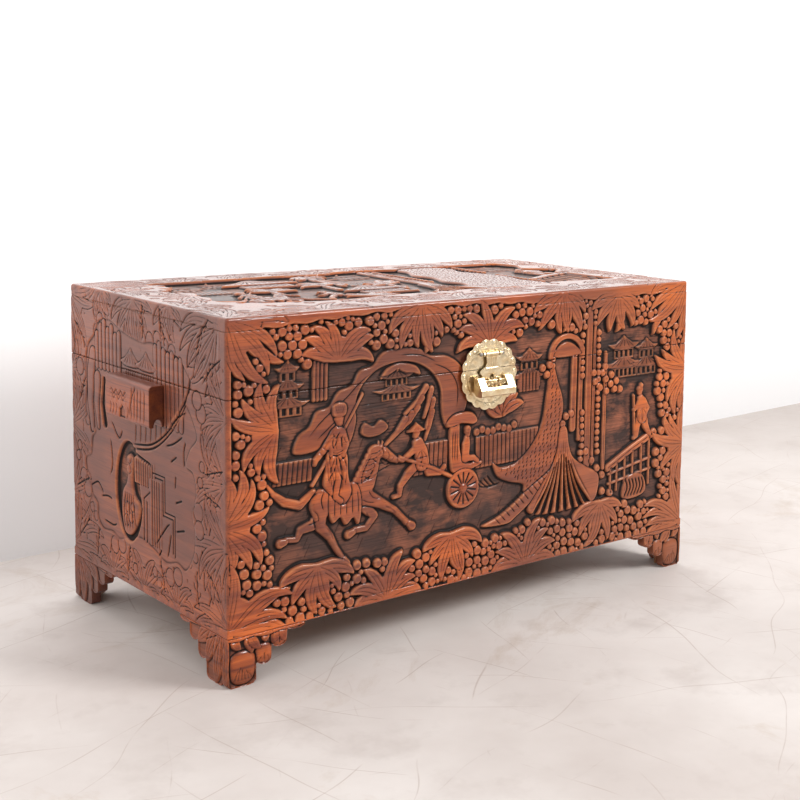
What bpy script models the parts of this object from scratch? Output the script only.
"""Carved wooden storage chest with a hinged lid, brass lock, block handles and bracket feet.

Metres, +Z up. The chest stands on z = 0, its front faces -Y and its length runs along X.
The origin is under the middle of everything, so the case sits a little towards +Y: the lock
stands further proud of the front than the hinges do of the back.
"""
from math import asin, atan2, cos, pi, radians, sin, sqrt

import bmesh
import bpy
from mathutils import Euler, Matrix, Vector

# Driving dimensions of the chest.
WIDTH = 0.950
DEPTH = 0.525
HEIGHT = 0.537
SEAM_Z = 0.4205
WALL = 0.018
TOP_THICKNESS = 0.020
FLOOR_UNDERSIDE = 0.074
FLOOR_THICKNESS = 0.014
GAP = 0.0003
CORNER_RADIUS = 0.006
TOP_EDGE_RADIUS = 0.005
TOP_INSET = 0.0008

# Lock, measured outwards from the front face.
PLATE_RADIUS = 0.0585
PLATE_Z = 0.4105
PLATE_THICKNESS = 0.0016
PLATE_LOBES = 18
HASP_PIN_Z = 0.4455
HASP_PIN_REACH = 0.0070
BAR_Z = 0.4020
BAR_REACH = 0.0120
PADLOCK_REACH = 0.0270

# Hinges, measured outwards from the back face.
BARREL_RADIUS = 0.0042
HINGE_LENGTH = 0.060
HINGE_SPACING = 0.600
LEAF_HEIGHT = 0.030
LEAF_THICKNESS = 0.0018

# Lid stay: the pivot on the lid and the stud on the case are equally far from the hinge.
STAY_RADIUS = 0.200
STAY_RISE = 0.055
STAY_OPEN = radians(95)
STAY_WIDTH = 0.014
STAY_THICKNESS = 0.0025
STUD_RADIUS = 0.0030

# The case sits back by half of what the lock stands out more than the hinges.
BACK_PROUD = GAP + 2 * BARREL_RADIUS
CASE_SHIFT = (PADLOCK_REACH - BACK_PROUD) / 2
FRONT = CASE_SHIFT - DEPTH / 2
BACK = CASE_SHIFT + DEPTH / 2
SIDE = WIDTH / 2
CASE_FLOOR = FLOOR_UNDERSIDE + FLOOR_THICKNESS
LID_TOP_UNDERSIDE = HEIGHT - TOP_THICKNESS
HINGE_Y = BACK + GAP + BARREL_RADIUS
HINGE_Z = SEAM_Z

# Turns that lay a flat outline, drawn in XY, on the front of the chest or on its end.
ON_FRONT = (pi / 2, 0, 0)
ON_END = (pi / 2, 0, pi / 2)
ALONG_X = (0, pi / 2, 0)
ROUND_STEPS = 24

WOOD = ("wood", (0.235, 0.075, 0.030, 1), 0.38, 0.0)
PLAIN_WOOD = ("plain_wood", (0.300, 0.150, 0.075, 1), 0.55, 0.0)
BRASS = ("brass", (0.800, 0.620, 0.330, 1), 0.28, 1.0)
STEEL = ("steel", (0.420, 0.400, 0.370, 1), 0.40, 1.0)


def clear_scene():
    for thing in list(bpy.data.objects):
        bpy.data.objects.remove(thing, do_unlink=True)


def collection(name):
    made = bpy.data.collections.new(name)
    bpy.context.scene.collection.children.link(made)
    return made


def material(name, look):
    kind, colour, roughness, metallic = look
    made = bpy.data.materials.new(f"{name}_{kind}")
    made.use_nodes = True
    shader = made.node_tree.nodes["Principled BSDF"]
    shader.inputs["Base Color"].default_value = colour
    shader.inputs["Roughness"].default_value = roughness
    shader.inputs["Metallic"].default_value = metallic
    return made


def hang(made, parent):
    """Parent an object to a joint's empty without moving it."""
    if parent:
        made.parent = parent
        made.matrix_parent_inverse = Matrix.Translation(-parent.location)


def keep(name, mesh, look, parent=None):
    """Put a finished mesh in the chest's collection under its own name and material."""
    made = bpy.data.objects.new(name, mesh)
    CHEST.objects.link(made)
    mesh.materials.clear()
    mesh.materials.append(material(name, look))
    hang(made, parent)
    return made


def cutter(name, mesh):
    made = bpy.data.objects.new(name, mesh)
    CUTTERS.objects.link(made)
    made.hide_render = True
    made.display_type = "WIRE"
    return made


def combine(target, other, operation):
    step = target.modifiers.new(other.name, "BOOLEAN")
    step.operation = operation
    step.solver = "EXACT"
    step.object = other
    return step


def pivot(name, place, parent=None):
    """An empty on a joint's axis, which carries the pieces that turn about it."""
    made = bpy.data.objects.new(name, None)
    CHEST.objects.link(made)
    made.location = place
    hang(made, parent)
    return made


def block_mesh(name, low, high, rounded=None, radius=0.0, segments=3):
    """A box between two corners, with the edges that rounded(edge) picks rounded off."""
    shape = bmesh.new()
    bmesh.ops.create_cube(shape, size=1)
    low, high = Vector(low), Vector(high)
    size = high - low
    bmesh.ops.scale(shape, vec=size, verts=shape.verts)
    bmesh.ops.translate(shape, vec=(low + high) / 2, verts=shape.verts)
    if rounded:
        edges = [edge for edge in shape.edges if rounded(edge)]
        bmesh.ops.bevel(shape, geom=edges, offset=radius, segments=segments,
                        profile=0.5, affect="EDGES", clamp_overlap=True)
    mesh = bpy.data.meshes.new(name)
    shape.to_mesh(mesh)
    shape.free()
    return mesh


def edge_at(axis_values):
    """Pick edges whose two ends both lie at the given value on every named axis."""
    def test(edge):
        return all(abs(vert.co["xyz".index(axis)] - value) < 1e-6
                   for vert in edge.verts for axis, value in axis_values.items())
    return test


def any_of(*tests):
    return lambda edge: any(test(edge) for test in tests)


def rod_mesh(name, place, radius, length, turn=ALONG_X, steps=ROUND_STEPS):
    """A cylinder centred on place. Its own axis is Z before the turn."""
    shape = bmesh.new()
    bmesh.ops.create_cone(shape, cap_ends=True, segments=steps,
                          radius1=radius, radius2=radius, depth=length)
    spin = Euler(turn).to_matrix().to_4x4()
    bmesh.ops.transform(shape, matrix=Matrix.Translation(place) @ spin, verts=shape.verts)
    mesh = bpy.data.meshes.new(name)
    shape.to_mesh(mesh)
    shape.free()
    return mesh


def outline_mesh(name, points, thickness, turn, place):
    """A flat outline given a thickness: drawn in XY, centred on its plane, turned and moved."""
    shape = bmesh.new()
    corners = [shape.verts.new((x, y, -thickness / 2)) for x, y in points]
    face = shape.faces.new(corners)
    raised = bmesh.ops.extrude_face_region(shape, geom=[face])
    verts = [item for item in raised["geom"] if isinstance(item, bmesh.types.BMVert)]
    bmesh.ops.translate(shape, vec=(0, 0, thickness), verts=verts)
    bmesh.ops.recalc_face_normals(shape, faces=shape.faces)
    spin = Euler(turn).to_matrix().to_4x4()
    bmesh.ops.transform(shape, matrix=Matrix.Translation(place) @ spin, verts=shape.verts)
    mesh = bpy.data.meshes.new(name)
    shape.to_mesh(mesh)
    shape.free()
    return mesh


def arc(centre, radius, start, end, steps, squash=1.0):
    """Points along an arc in degrees, both ends included."""
    points = []
    for step in range(steps + 1):
        angle = radians(start + (end - start) * step / steps)
        points.append((centre[0] + radius * cos(angle), centre[1] + squash * radius * sin(angle)))
    return points


def turned(name, profile, place, look, turn=ALONG_X, parent=None):
    """A turned piece: (radius, height) pairs, top to bottom, swept round by a Screw modifier."""
    mesh = bpy.data.meshes.new(name)
    points = [(radius, 0, height) for radius, height in profile]
    mesh.from_pydata(points, [(i, i + 1) for i in range(len(points) - 1)], [])
    made = keep(name, mesh, look)
    screw = made.modifiers.new("sweep", "SCREW")
    screw.steps = 16
    screw.render_steps = 16
    screw.use_merge_vertices = True
    screw.merge_threshold = 0.00005
    made.location = place
    made.rotation_euler = turn
    hang(made, parent)
    return made


# ---------------------------------------------------------------- case

def walls():
    low = CASE_FLOOR + GAP
    high = SEAM_Z - GAP / 2
    for name, outer, inner in (("front_board", FRONT, FRONT + WALL),
                               ("back_board", BACK, BACK - WALL)):
        corners = any_of(edge_at({"x": -SIDE, "y": outer}), edge_at({"x": SIDE, "y": outer}))
        mesh = block_mesh(name, (-SIDE, min(outer, inner), low), (SIDE, max(outer, inner), high),
                          corners, CORNER_RADIUS)
        keep(name, mesh, WOOD)
    for name, side in (("left_end_board", -1), ("right_end_board", 1)):
        xs = sorted((side * SIDE, side * (SIDE - WALL)))
        mesh = block_mesh(name, (xs[0], FRONT + WALL + GAP, low),
                          (xs[1], BACK - WALL - GAP, high))
        keep(name, mesh, WOOD)


def floor():
    rim = any_of(edge_at({"x": -SIDE}), edge_at({"x": SIDE}),
                 edge_at({"y": FRONT}), edge_at({"y": BACK}))
    outer = lambda edge: rim(edge) and not edge_at({"z": CASE_FLOOR})(edge)
    mesh = block_mesh("bottom_board", (-SIDE, FRONT, FLOOR_UNDERSIDE),
                      (SIDE, BACK, CASE_FLOOR), outer, CORNER_RADIUS)
    keep("bottom_board", mesh, WOOD)


LIP_THICKNESS = 0.008
LIP_UNDER = 0.022
LIP_OVER = 0.008
LIP_CLEARANCE = 0.0012


def dust_lips():
    """Thin battens inside the rim that stand up into the lid."""
    low, high = SEAM_Z - LIP_UNDER, SEAM_Z + LIP_OVER
    inner_x = SIDE - WALL - GAP
    inner_front = FRONT + WALL + GAP
    inner_back = BACK - WALL - 0.010
    clear = LIP_CLEARANCE

    def lip(name, low_xy, high_xy, step_axis, step_side):
        """The lower part touches the wall; above the seam it stands clear of the lid."""
        mesh = block_mesh(name, (*low_xy, low), (*high_xy, high))
        made = keep(name, mesh, PLAIN_WOOD)
        size = 0.4 * WIDTH
        at = [(low_xy[0] + high_xy[0]) / 2, (low_xy[1] + high_xy[1]) / 2, SEAM_Z + 0.05 - GAP]
        wall = (high_xy if step_side > 0 else low_xy)[step_axis]
        at[step_axis] = wall + step_side * (0.05 - clear)
        half = [size, size, 0.05]
        half[step_axis] = 0.05
        rebate = block_mesh(name + "_rebate", [a - h for a, h in zip(at, half)],
                            [a + h for a, h in zip(at, half)])
        combine(made, cutter(name + "_rebate", rebate), "DIFFERENCE")

    lip("dust_lip_front", (-inner_x, inner_front), (inner_x, inner_front + LIP_THICKNESS), 1, -1)
    for name, side in (("dust_lip_left", -1), ("dust_lip_right", 1)):
        xs = sorted((side * inner_x, side * (inner_x - LIP_THICKNESS)))
        lip(name, (xs[0], inner_front + LIP_THICKNESS + GAP), (xs[1], inner_back), 0, side)


# Each foot bracket steps up from the corner in rounded lobes: start, end and lowest point.
FOOT_LOBES = ((0.000, 0.047, 0.000), (0.047, 0.072, 0.025), (0.072, 0.098, 0.046),
              (0.098, 0.128, 0.066))
FOOT_THICKNESS = 0.018
FOOT_ROUNDING = 0.009


def foot_outline():
    """Half a foot, seen square on: x runs from the corner, y is the height."""
    top = FLOOR_UNDERSIDE - GAP
    length = FOOT_LOBES[-1][1]
    points = [(0, top)]
    for start, end, lowest in FOOT_LOBES:
        rounding = min(FOOT_ROUNDING, 0.6 * (top - lowest))
        if start == 0:
            points.append((0, rounding / 2))
            points.append((rounding / 2, 0))
            points += arc((end - rounding, rounding), rounding, -90, 0, 4)
        else:
            middle = (start + end) / 2
            points += arc((middle, lowest + rounding), (end - start) / 2, 180, 360, 6,
                          squash=rounding / ((end - start) / 2))
    points[-1] = (length, points[-1][1])
    points.append((length, top))
    return tidy_outline(points)


def tidy_outline(points):
    """Drop a point that repeats the one before it."""
    kept = []
    for point in points:
        if not kept or (Vector(point) - Vector(kept[-1])).length > 1e-5:
            kept.append(point)
    return kept


def feet():
    outline = foot_outline()
    inset = FOOT_THICKNESS / 2
    for end, front_y, sign_y in (("front", FRONT, 1), ("back", BACK, -1)):
        for hand, sign_x in (("left", -1), ("right", 1)):
            corner_x = sign_x * SIDE
            flipped = [(-sign_x * x, y) for x, y in outline]
            keep(f"foot_{end}_{hand}_face",
                 outline_mesh("foot", flipped, FOOT_THICKNESS, ON_FRONT,
                              (corner_x, front_y + sign_y * inset, 0)), WOOD)
            flipped = [(sign_y * x, y) for x, y in outline]
            behind = front_y + sign_y * (FOOT_THICKNESS + GAP)
            keep(f"foot_{end}_{hand}_return",
                 outline_mesh("foot", flipped, FOOT_THICKNESS, ON_END,
                              (corner_x - sign_x * inset, behind, 0)), WOOD)
            glue_block(f"foot_{end}_{hand}_block", sign_x, front_y, sign_y)


BLOCK_SIZE = 0.032
BLOCK_CLEARANCE = 0.005


def glue_block(name, sign_x, front_y, sign_y):
    """The three-cornered block in the angle of a foot, short of the ground."""
    off = FOOT_THICKNESS + GAP
    corner = (sign_x * (SIDE - off), front_y + sign_y * off)
    points = [corner, (corner[0] - sign_x * BLOCK_SIZE, corner[1]),
              (corner[0], corner[1] + sign_y * BLOCK_SIZE)]
    height = FLOOR_UNDERSIDE - GAP - BLOCK_CLEARANCE
    keep(name, outline_mesh(name, points, height, (0, 0, 0),
                            (0, 0, BLOCK_CLEARANCE + height / 2)), PLAIN_WOOD)


HANDLE_LENGTH = 0.148
HANDLE_HEIGHT = 0.064
HANDLE_REACH = 0.024
HANDLE_TOP = 0.415
HANDLE_GROOVE = 0.013


def handles():
    """Solid grip blocks on the ends, with a finger groove along the underside."""
    reach, low, high = HANDLE_REACH, HANDLE_TOP - HANDLE_HEIGHT, HANDLE_TOP
    section = [(0, high), (reach - 0.006, high)]
    section += arc((reach - 0.006, high - 0.006), 0.006, 90, 0, 3)
    section += arc((reach - 0.003, low + 0.003), 0.003, 0, -90, 2)
    section += arc((0.010, low), 0.0065, 0, 180, 6, squash=HANDLE_GROOVE / 0.0065)
    section += [(0, low)]
    for name, side in (("left_handle", -1), ("right_handle", 1)):
        drawn = [(side * (SIDE + GAP + x), z) for x, z in section]
        mesh = outline_mesh(name, tidy_outline(drawn), HANDLE_LENGTH, ON_FRONT,
                            (0, CASE_SHIFT, 0))
        keep(name, mesh, WOOD)


# ---------------------------------------------------------------- lid

def lid(axis):
    low, high = SEAM_Z + GAP / 2, LID_TOP_UNDERSIDE - GAP
    for name, outer, inner in (("lid_front_rail", FRONT, FRONT + WALL),
                               ("lid_back_rail", BACK, BACK - WALL)):
        corners = any_of(edge_at({"x": -SIDE, "y": outer}), edge_at({"x": SIDE, "y": outer}))
        mesh = block_mesh(name, (-SIDE, min(outer, inner), low), (SIDE, max(outer, inner), high),
                          corners, CORNER_RADIUS)
        keep(name, mesh, WOOD, axis)
    for name, side in (("lid_left_rail", -1), ("lid_right_rail", 1)):
        xs = sorted((side * SIDE, side * (SIDE - WALL)))
        mesh = block_mesh(name, (xs[0], FRONT + WALL + GAP, low),
                          (xs[1], BACK - WALL - GAP, high))
        keep(name, mesh, WOOD, axis)
    edge_x, front, back = SIDE - TOP_INSET, FRONT + TOP_INSET, BACK - TOP_INSET
    rim = any_of(edge_at({"x": -edge_x}), edge_at({"x": edge_x}),
                 edge_at({"y": front}), edge_at({"y": back}))
    outer = lambda edge: rim(edge) and not edge_at({"z": LID_TOP_UNDERSIDE})(edge)
    mesh = block_mesh("lid_top", (-edge_x, front, LID_TOP_UNDERSIDE), (edge_x, back, HEIGHT),
                      outer, TOP_EDGE_RADIUS)
    keep("lid_top", mesh, WOOD, axis)


# ---------------------------------------------------------------- back hinges

KNUCKLE_GAP = 0.0005
HINGE_PIN_RADIUS = 0.0015
SCREW_RADIUS = 0.0034
SCREW_RISE = 0.0014


def hinge_leaf(name, centre_x, up, knuckles, parent=None):
    """One leaf flat on the back and its knuckles round the barrel. up is +1 on the lid."""
    back = BACK + GAP
    near, far = BARREL_RADIUS + 0.0012, LEAF_HEIGHT
    zs = sorted((HINGE_Z + up * near, HINGE_Z + up * far))
    half = HINGE_LENGTH / 2
    mesh = block_mesh(name, (centre_x - half, back, zs[0]),
                      (centre_x + half, back + LEAF_THICKNESS, zs[1]))
    leaf = keep(name, mesh, BRASS, parent)
    width = HINGE_LENGTH / 3
    for index in knuckles:
        middle = centre_x + (index - 1) * width
        inner = width / 2 - KNUCKLE_GAP / 2
        tab_zs = sorted((HINGE_Z, HINGE_Z + up * (near + 0.001)))
        tab = block_mesh(f"{name}_tab_{index}", (middle - inner, back, tab_zs[0]),
                         (middle + inner, back + LEAF_THICKNESS, tab_zs[1]))
        combine(leaf, cutter(f"{name}_tab_{index}", tab), "UNION")
        round_part = rod_mesh(f"{name}_knuckle_{index}", (middle, HINGE_Y, HINGE_Z),
                              BARREL_RADIUS, 2 * inner)
        combine(leaf, cutter(f"{name}_knuckle_{index}", round_part), "UNION")
    bore = rod_mesh(name + "_bore", (centre_x, HINGE_Y, HINGE_Z),
                    HINGE_PIN_RADIUS + 0.00035, 2 * HINGE_LENGTH)
    combine(leaf, cutter(name + "_bore", bore), "DIFFERENCE")


def dome(name, place, radius, rise, look, turn, parent=None):
    """A low round head with a flat back, whose axis is Z before the turn."""
    profile = [(0, rise), (0.45 * radius, 0.88 * rise), (0.80 * radius, 0.55 * rise),
               (radius, 0.12 * rise), (radius, 0), (0, 0)]
    return turned(name, profile, place, look, turn, parent)


FACE_BACK = (-pi / 2, 0, 0)
FACE_FRONT = (pi / 2, 0, 0)


def hinges(axis):
    for hand, side in (("left", -1), ("right", 1)):
        centre = side * HINGE_SPACING / 2
        hinge_leaf(f"hinge_{hand}_case_leaf", centre, -1, (0, 2))
        hinge_leaf(f"hinge_{hand}_lid_leaf", centre, 1, (1,), axis)
        pin = rod_mesh(f"hinge_{hand}_pin", (centre, HINGE_Y, HINGE_Z),
                       HINGE_PIN_RADIUS, HINGE_LENGTH)
        keep(f"hinge_{hand}_pin", pin, STEEL)
        for row, up, parent in (("case", -1, None), ("lid", 1, axis)):
            for number, offset in ((1, -0.018), (2, 0.018)):
                place = (centre + offset, BACK + 2 * GAP + LEAF_THICKNESS,
                         HINGE_Z + up * 0.60 * LEAF_HEIGHT)
                dome(f"hinge_{hand}_{row}_screw_{number}", place, SCREW_RADIUS, SCREW_RISE,
                     BRASS, FACE_BACK, parent)


# ---------------------------------------------------------------- lock

def scalloped_outline(radius, lobes, steps=5):
    """A round plate whose rim is a ring of lobes."""
    centre_ring = radius / (1 + sin(pi / lobes) * 1.12)
    lobe_radius = radius - centre_ring
    half = pi / lobes
    # Two neighbouring lobes meet on the line midway between them.
    reach = sqrt(lobe_radius ** 2 - (centre_ring * sin(half)) ** 2)
    meet = centre_ring * cos(half) + reach
    spread = atan2(meet * sin(half), meet * cos(half) - centre_ring)
    points = []
    for lobe in range(lobes):
        middle = 2 * pi * lobe / lobes
        for step in range(steps):
            turn = middle - spread + 2 * spread * step / steps
            points.append((centre_ring * cos(middle) + lobe_radius * cos(turn),
                           centre_ring * sin(middle) + lobe_radius * sin(turn)))
    return points


def half_plate(name, upper, parent=None):
    """The upper or lower part of the lock plate, cut apart at the seam."""
    middle = FRONT - GAP - PLATE_THICKNESS / 2
    mesh = outline_mesh(name, scalloped_outline(PLATE_RADIUS, PLATE_LOBES), PLATE_THICKNESS,
                        ON_FRONT, (0, middle, PLATE_Z))
    plate = keep(name, mesh, BRASS, parent)
    size = 2 * PLATE_RADIUS
    cut = SEAM_Z + (GAP / 2 if upper else -GAP / 2)
    zs = (cut - size, cut) if upper else (cut, cut + size)
    away = block_mesh(name + "_cut", (-size, middle - 0.01, zs[0]), (size, middle + 0.01, zs[1]))
    combine(plate, cutter(name + "_cut", away), "DIFFERENCE")


PLATE_FACE = GAP + PLATE_THICKNESS
PIN_RADIUS = 0.0016
PIN_BORE = 0.0020
EYE_X = 0.0170
EYE_WIDTH = 0.0040
KNUCKLE_RADIUS = 0.0040
HASP_NECK = 0.0130


def hasp_eyes(axis):
    """Two ears on the upper plate that hold the hasp's pin."""
    for hand, side in (("left", -1), ("right", 1)):
        name = f"hasp_eye_{hand}"
        centre = (side * EYE_X, FRONT - HASP_PIN_REACH, HASP_PIN_Z)
        eye = keep(name, rod_mesh(name, centre, KNUCKLE_RADIUS, EYE_WIDTH), BRASS, axis)
        foot = block_mesh(name + "_foot",
                          (centre[0] - EYE_WIDTH / 2, FRONT - HASP_PIN_REACH, HASP_PIN_Z - 0.0028),
                          (centre[0] + EYE_WIDTH / 2, FRONT - PLATE_FACE - GAP,
                           HASP_PIN_Z + 0.0028))
        combine(eye, cutter(name + "_foot", foot), "UNION")
        bore = rod_mesh(name + "_bore", centre, PIN_BORE, 4 * EYE_WIDTH)
        combine(eye, cutter(name + "_bore", bore), "DIFFERENCE")


def hasp_pin(axis):
    """The hasp's pin, with a ball on each end."""
    ball, reach = 0.0034, EYE_X + EYE_WIDTH / 2 + GAP
    neck = sqrt(ball ** 2 - PIN_RADIUS ** 2)
    profile = []
    for step in range(7):
        angle = radians(90 - (90 + 62) * step / 6)
        profile.append((max(ball * cos(angle), 0), reach + neck + ball * sin(angle)))
    profile[-1] = (PIN_RADIUS, reach)
    profile[0] = (0, reach + neck + ball)
    profile += [(radius, -height) for radius, height in reversed(profile)]
    turned("hasp_pin", profile, (0, FRONT - HASP_PIN_REACH, HASP_PIN_Z), BRASS,
           parent=axis)


HASP_THICKNESS = 0.0020
HASP_BOTTOM = 0.3965
RING_X = 0.0110
RING_WIDTH = 0.0040
RING_RADIUS = 0.0052
RING_BORE = 0.0027
FORK_HALF = 0.0040


def hasp_outline():
    """The vase-shaped strap seen from the front, with its open slot for the staple."""
    right = [(HASP_NECK, HASP_PIN_Z), (0.0105, HASP_PIN_Z - 0.008), (0.0100, 0.4300),
             (0.0125, 0.4255), (0.0190, 0.4215), (0.0235, 0.4185), (0.0245, 0.4145),
             (0.0205, 0.4110), (0.0190, 0.4040), (0.0160, 0.3990), (0.0120, HASP_BOTTOM),
             (FORK_HALF, HASP_BOTTOM), (FORK_HALF, 0.4095), (0.0020, 0.4115)]
    left = [(-x, z) for x, z in reversed(right)]
    return right + left


def hasp(axis):
    middle = FRONT - HASP_PIN_REACH
    strap = keep("hasp", outline_mesh("hasp", hasp_outline(), HASP_THICKNESS, ON_FRONT,
                                      (0, middle, 0)), BRASS, axis)
    knuckle = rod_mesh("hasp_knuckle", (0, middle, HASP_PIN_Z), KNUCKLE_RADIUS, 2 * HASP_NECK)
    combine(strap, cutter("hasp_knuckle", knuckle), "UNION")
    bore = rod_mesh("hasp_bore", (0, middle, HASP_PIN_Z), PIN_BORE, 4 * HASP_NECK)
    combine(strap, cutter("hasp_bore", bore), "DIFFERENCE")
    for number, side in ((1, -1), (2, 1)):
        centre = (side * RING_X, FRONT - BAR_REACH, BAR_Z)
        ring = rod_mesh(f"hasp_ring_{number}", centre, RING_RADIUS, RING_WIDTH)
        combine(strap, cutter(f"hasp_ring_{number}", ring), "UNION")
    bar_bore = rod_mesh("hasp_bar_bore", (0, FRONT - BAR_REACH, BAR_Z), RING_BORE, 0.06)
    combine(strap, cutter("hasp_bar_bore", bar_bore), "DIFFERENCE")


def staple():
    """The loop on the lower plate that stands through the hasp's slot."""
    wire, reach = 0.0014, 0.0092
    start = PLATE_FACE + GAP
    low, high = 0.3995, 0.4065
    rise = (high - low) / 2
    points = [(start, low)]
    points += arc((reach - wire - rise, low + rise), rise, -90, 90, 6)
    points += [(start, high)]
    curve = bpy.data.curves.new("staple", "CURVE")
    curve.dimensions = "3D"
    curve.bevel_depth = wire
    curve.bevel_resolution = 2
    curve.use_fill_caps = True
    line = curve.splines.new("POLY")
    line.points.add(len(points) - 1)
    for point, (reach_out, height) in zip(line.points, points):
        point.co = (0, FRONT - reach_out, height, 1)
    made = bpy.data.objects.new("staple", curve)
    CHEST.objects.link(made)
    curve.materials.append(material("staple", BRASS))


PADLOCK_HALF = 0.0360
PADLOCK_BACK = 0.0070
PADLOCK_LOW = 0.3790
PADLOCK_HIGH = 0.4090
NOTCH_HALF = 0.0220
NOTCH_FLOOR = 0.3940
BAR_RADIUS = 0.0022
STAPLE_GROOVE = 0.0103


def padlock(axis):
    """A bar padlock: a prism with a sloped top, notched so that its bar shows."""
    section = [(PADLOCK_BACK, PADLOCK_HIGH), (0.0150, PADLOCK_HIGH),
               (PADLOCK_REACH, 0.3900), (PADLOCK_REACH, PADLOCK_LOW + 0.0015),
               (PADLOCK_REACH - 0.0015, PADLOCK_LOW), (0.0120, PADLOCK_LOW),
               (PADLOCK_BACK, PADLOCK_LOW + 0.0060)]
    drawn = [(FRONT - reach, height) for reach, height in section]
    case = keep("padlock_case", outline_mesh("padlock_case", drawn, 2 * PADLOCK_HALF, ON_END,
                                             (0, 0, 0)), BRASS, axis)
    notch = block_mesh("padlock_notch", (-NOTCH_HALF, FRONT - 0.05, NOTCH_FLOOR),
                       (NOTCH_HALF, FRONT, NOTCH_FLOOR + 0.05))
    combine(case, cutter("padlock_notch", notch), "DIFFERENCE")
    groove = block_mesh("padlock_groove", (-FORK_HALF, FRONT - STAPLE_GROOVE, 0.35),
                        (FORK_HALF, FRONT, 0.45))
    combine(case, cutter("padlock_groove", groove), "DIFFERENCE")
    bore = rod_mesh("padlock_bore", (0, FRONT - BAR_REACH, BAR_Z), BAR_RADIUS + 0.0004, 0.1)
    combine(case, cutter("padlock_bore", bore), "DIFFERENCE")


def padlock_bolt(axis):
    """The padlock's sliding bar, with a flange to pull it by."""
    flange = PADLOCK_HALF + GAP
    profile = [(0, flange + 0.0022), (0.0042, flange + 0.0020), (0.0048, flange + 0.0012),
               (0.0048, flange), (BAR_RADIUS, flange), (BAR_RADIUS, -PADLOCK_HALF + 0.001),
               (0, -PADLOCK_HALF + 0.001)]
    turned("padlock_bolt", profile, (0, FRONT - BAR_REACH, BAR_Z), BRASS, parent=axis)


TACK_RADIUS = 0.0030
TACK_RISE = 0.0016
TACK_RING = 0.0500


def tacks(axis):
    """Domed tacks on the rim of the lock plate: three on the lower half, two on the upper."""
    reach = FRONT - PLATE_FACE - GAP
    places = (("lower", 1, 210), ("lower", 2, 270), ("lower", 3, 330),
              ("upper", 1, 50), ("upper", 2, 130))
    for half, number, angle in places:
        place = (TACK_RING * cos(radians(angle)), reach, PLATE_Z + TACK_RING * sin(radians(angle)))
        dome(f"lock_tack_{half}_{number}", place, TACK_RADIUS, TACK_RISE, BRASS, FACE_FRONT,
             axis if half == "upper" else None)


# ---------------------------------------------------------------- lid stay

STAY_SIDE_X = SIDE - WALL - GAP
ARM_X = 0.4452
HEAD_X = 0.4412
STUD_PLATE = 0.0020


def stay_places():
    """The pivot and the stud mirror each other about the seam."""
    run = sqrt(STAY_RADIUS ** 2 - STAY_RISE ** 2)
    y = HINGE_Y - run
    return y, HINGE_Z + STAY_RISE, HINGE_Z - STAY_RISE


def stay_bracket(name, y, z, parent=None):
    """A small plate on the inner side, with a headed stud that holds the arm."""
    mesh = block_mesh(name, (STAY_SIDE_X - STUD_PLATE, y - 0.016, z - 0.011),
                      (STAY_SIDE_X, y + 0.016, z + 0.011))
    plate = keep(name, mesh, BRASS, parent)
    inner = HEAD_X - 0.0010
    outer = STAY_SIDE_X - STUD_PLATE / 2
    stud = rod_mesh(name + "_stud", ((inner + outer) / 2, y, z), STUD_RADIUS, outer - inner)
    combine(plate, cutter(name + "_stud", stud), "UNION")
    head = rod_mesh(name + "_head", (HEAD_X, y, z), 0.0058, 0.0024)
    combine(plate, cutter(name + "_head", head), "UNION")


def stay(lid_axis):
    y, pivot_z, stud_z = stay_places()
    stay_bracket("stay_lid_bracket", y, pivot_z, lid_axis)
    stay_bracket("stay_case_bracket", y, stud_z)
    closed = 2 * STAY_RISE
    half_angle = asin(STAY_RISE / STAY_RADIUS)
    opened = 2 * STAY_RADIUS * sin(half_angle + STAY_OPEN / 2)
    length = opened + 0.016
    half = STAY_WIDTH / 2
    outline = arc((0, 0), half, 0, 180, 8) + arc((0, -length), half, 180, 360, 8)
    axis = pivot("stay_axis", (ARM_X, y, pivot_z), lid_axis)
    arm = bpy.data.objects.new("stay_arm", outline_mesh(
        "stay_arm", outline, STAY_THICKNESS, ON_END, (0, 0, 0)))
    CHEST.objects.link(arm)
    arm.data.materials.append(material("stay_arm", BRASS))
    arm.parent = axis
    hole = rod_mesh("stay_hole", (0, 0, 0), STUD_RADIUS + 0.0004, 0.02)
    slot_half = STUD_RADIUS + 0.0004
    slot = arc((0, -closed + 0.004), slot_half, 0, 180, 8)
    slot += arc((0, -opened - 0.0005), slot_half, 180, 360, 8)
    slot_mesh = outline_mesh("stay_slot", slot, 0.02, ON_END, (0, 0, 0))
    for name, mesh in (("stay_hole", hole), ("stay_slot", slot_mesh)):
        tool = cutter(name, mesh)
        tool.location = (ARM_X, y, pivot_z)
        combine(arm, tool, "DIFFERENCE")


clear_scene()
CHEST = collection("wooden_chest")
CUTTERS = collection("cutters")
lid_axis = pivot("lid_axis", (0, HINGE_Y, HINGE_Z))
hasp_axis = pivot("hasp_axis", (0, FRONT - HASP_PIN_REACH, HASP_PIN_Z), lid_axis)
padlock_axis = pivot("padlock_axis", (0, FRONT - BAR_REACH, BAR_Z), hasp_axis)

walls()
floor()
dust_lips()
feet()
handles()
lid(lid_axis)
hinges(lid_axis)
half_plate("lock_plate_lower", False)
half_plate("lock_plate_upper", True, lid_axis)
hasp_eyes(lid_axis)
hasp_pin(lid_axis)
hasp(hasp_axis)
staple()
padlock(padlock_axis)
padlock_bolt(padlock_axis)
tacks(lid_axis)
stay(lid_axis)
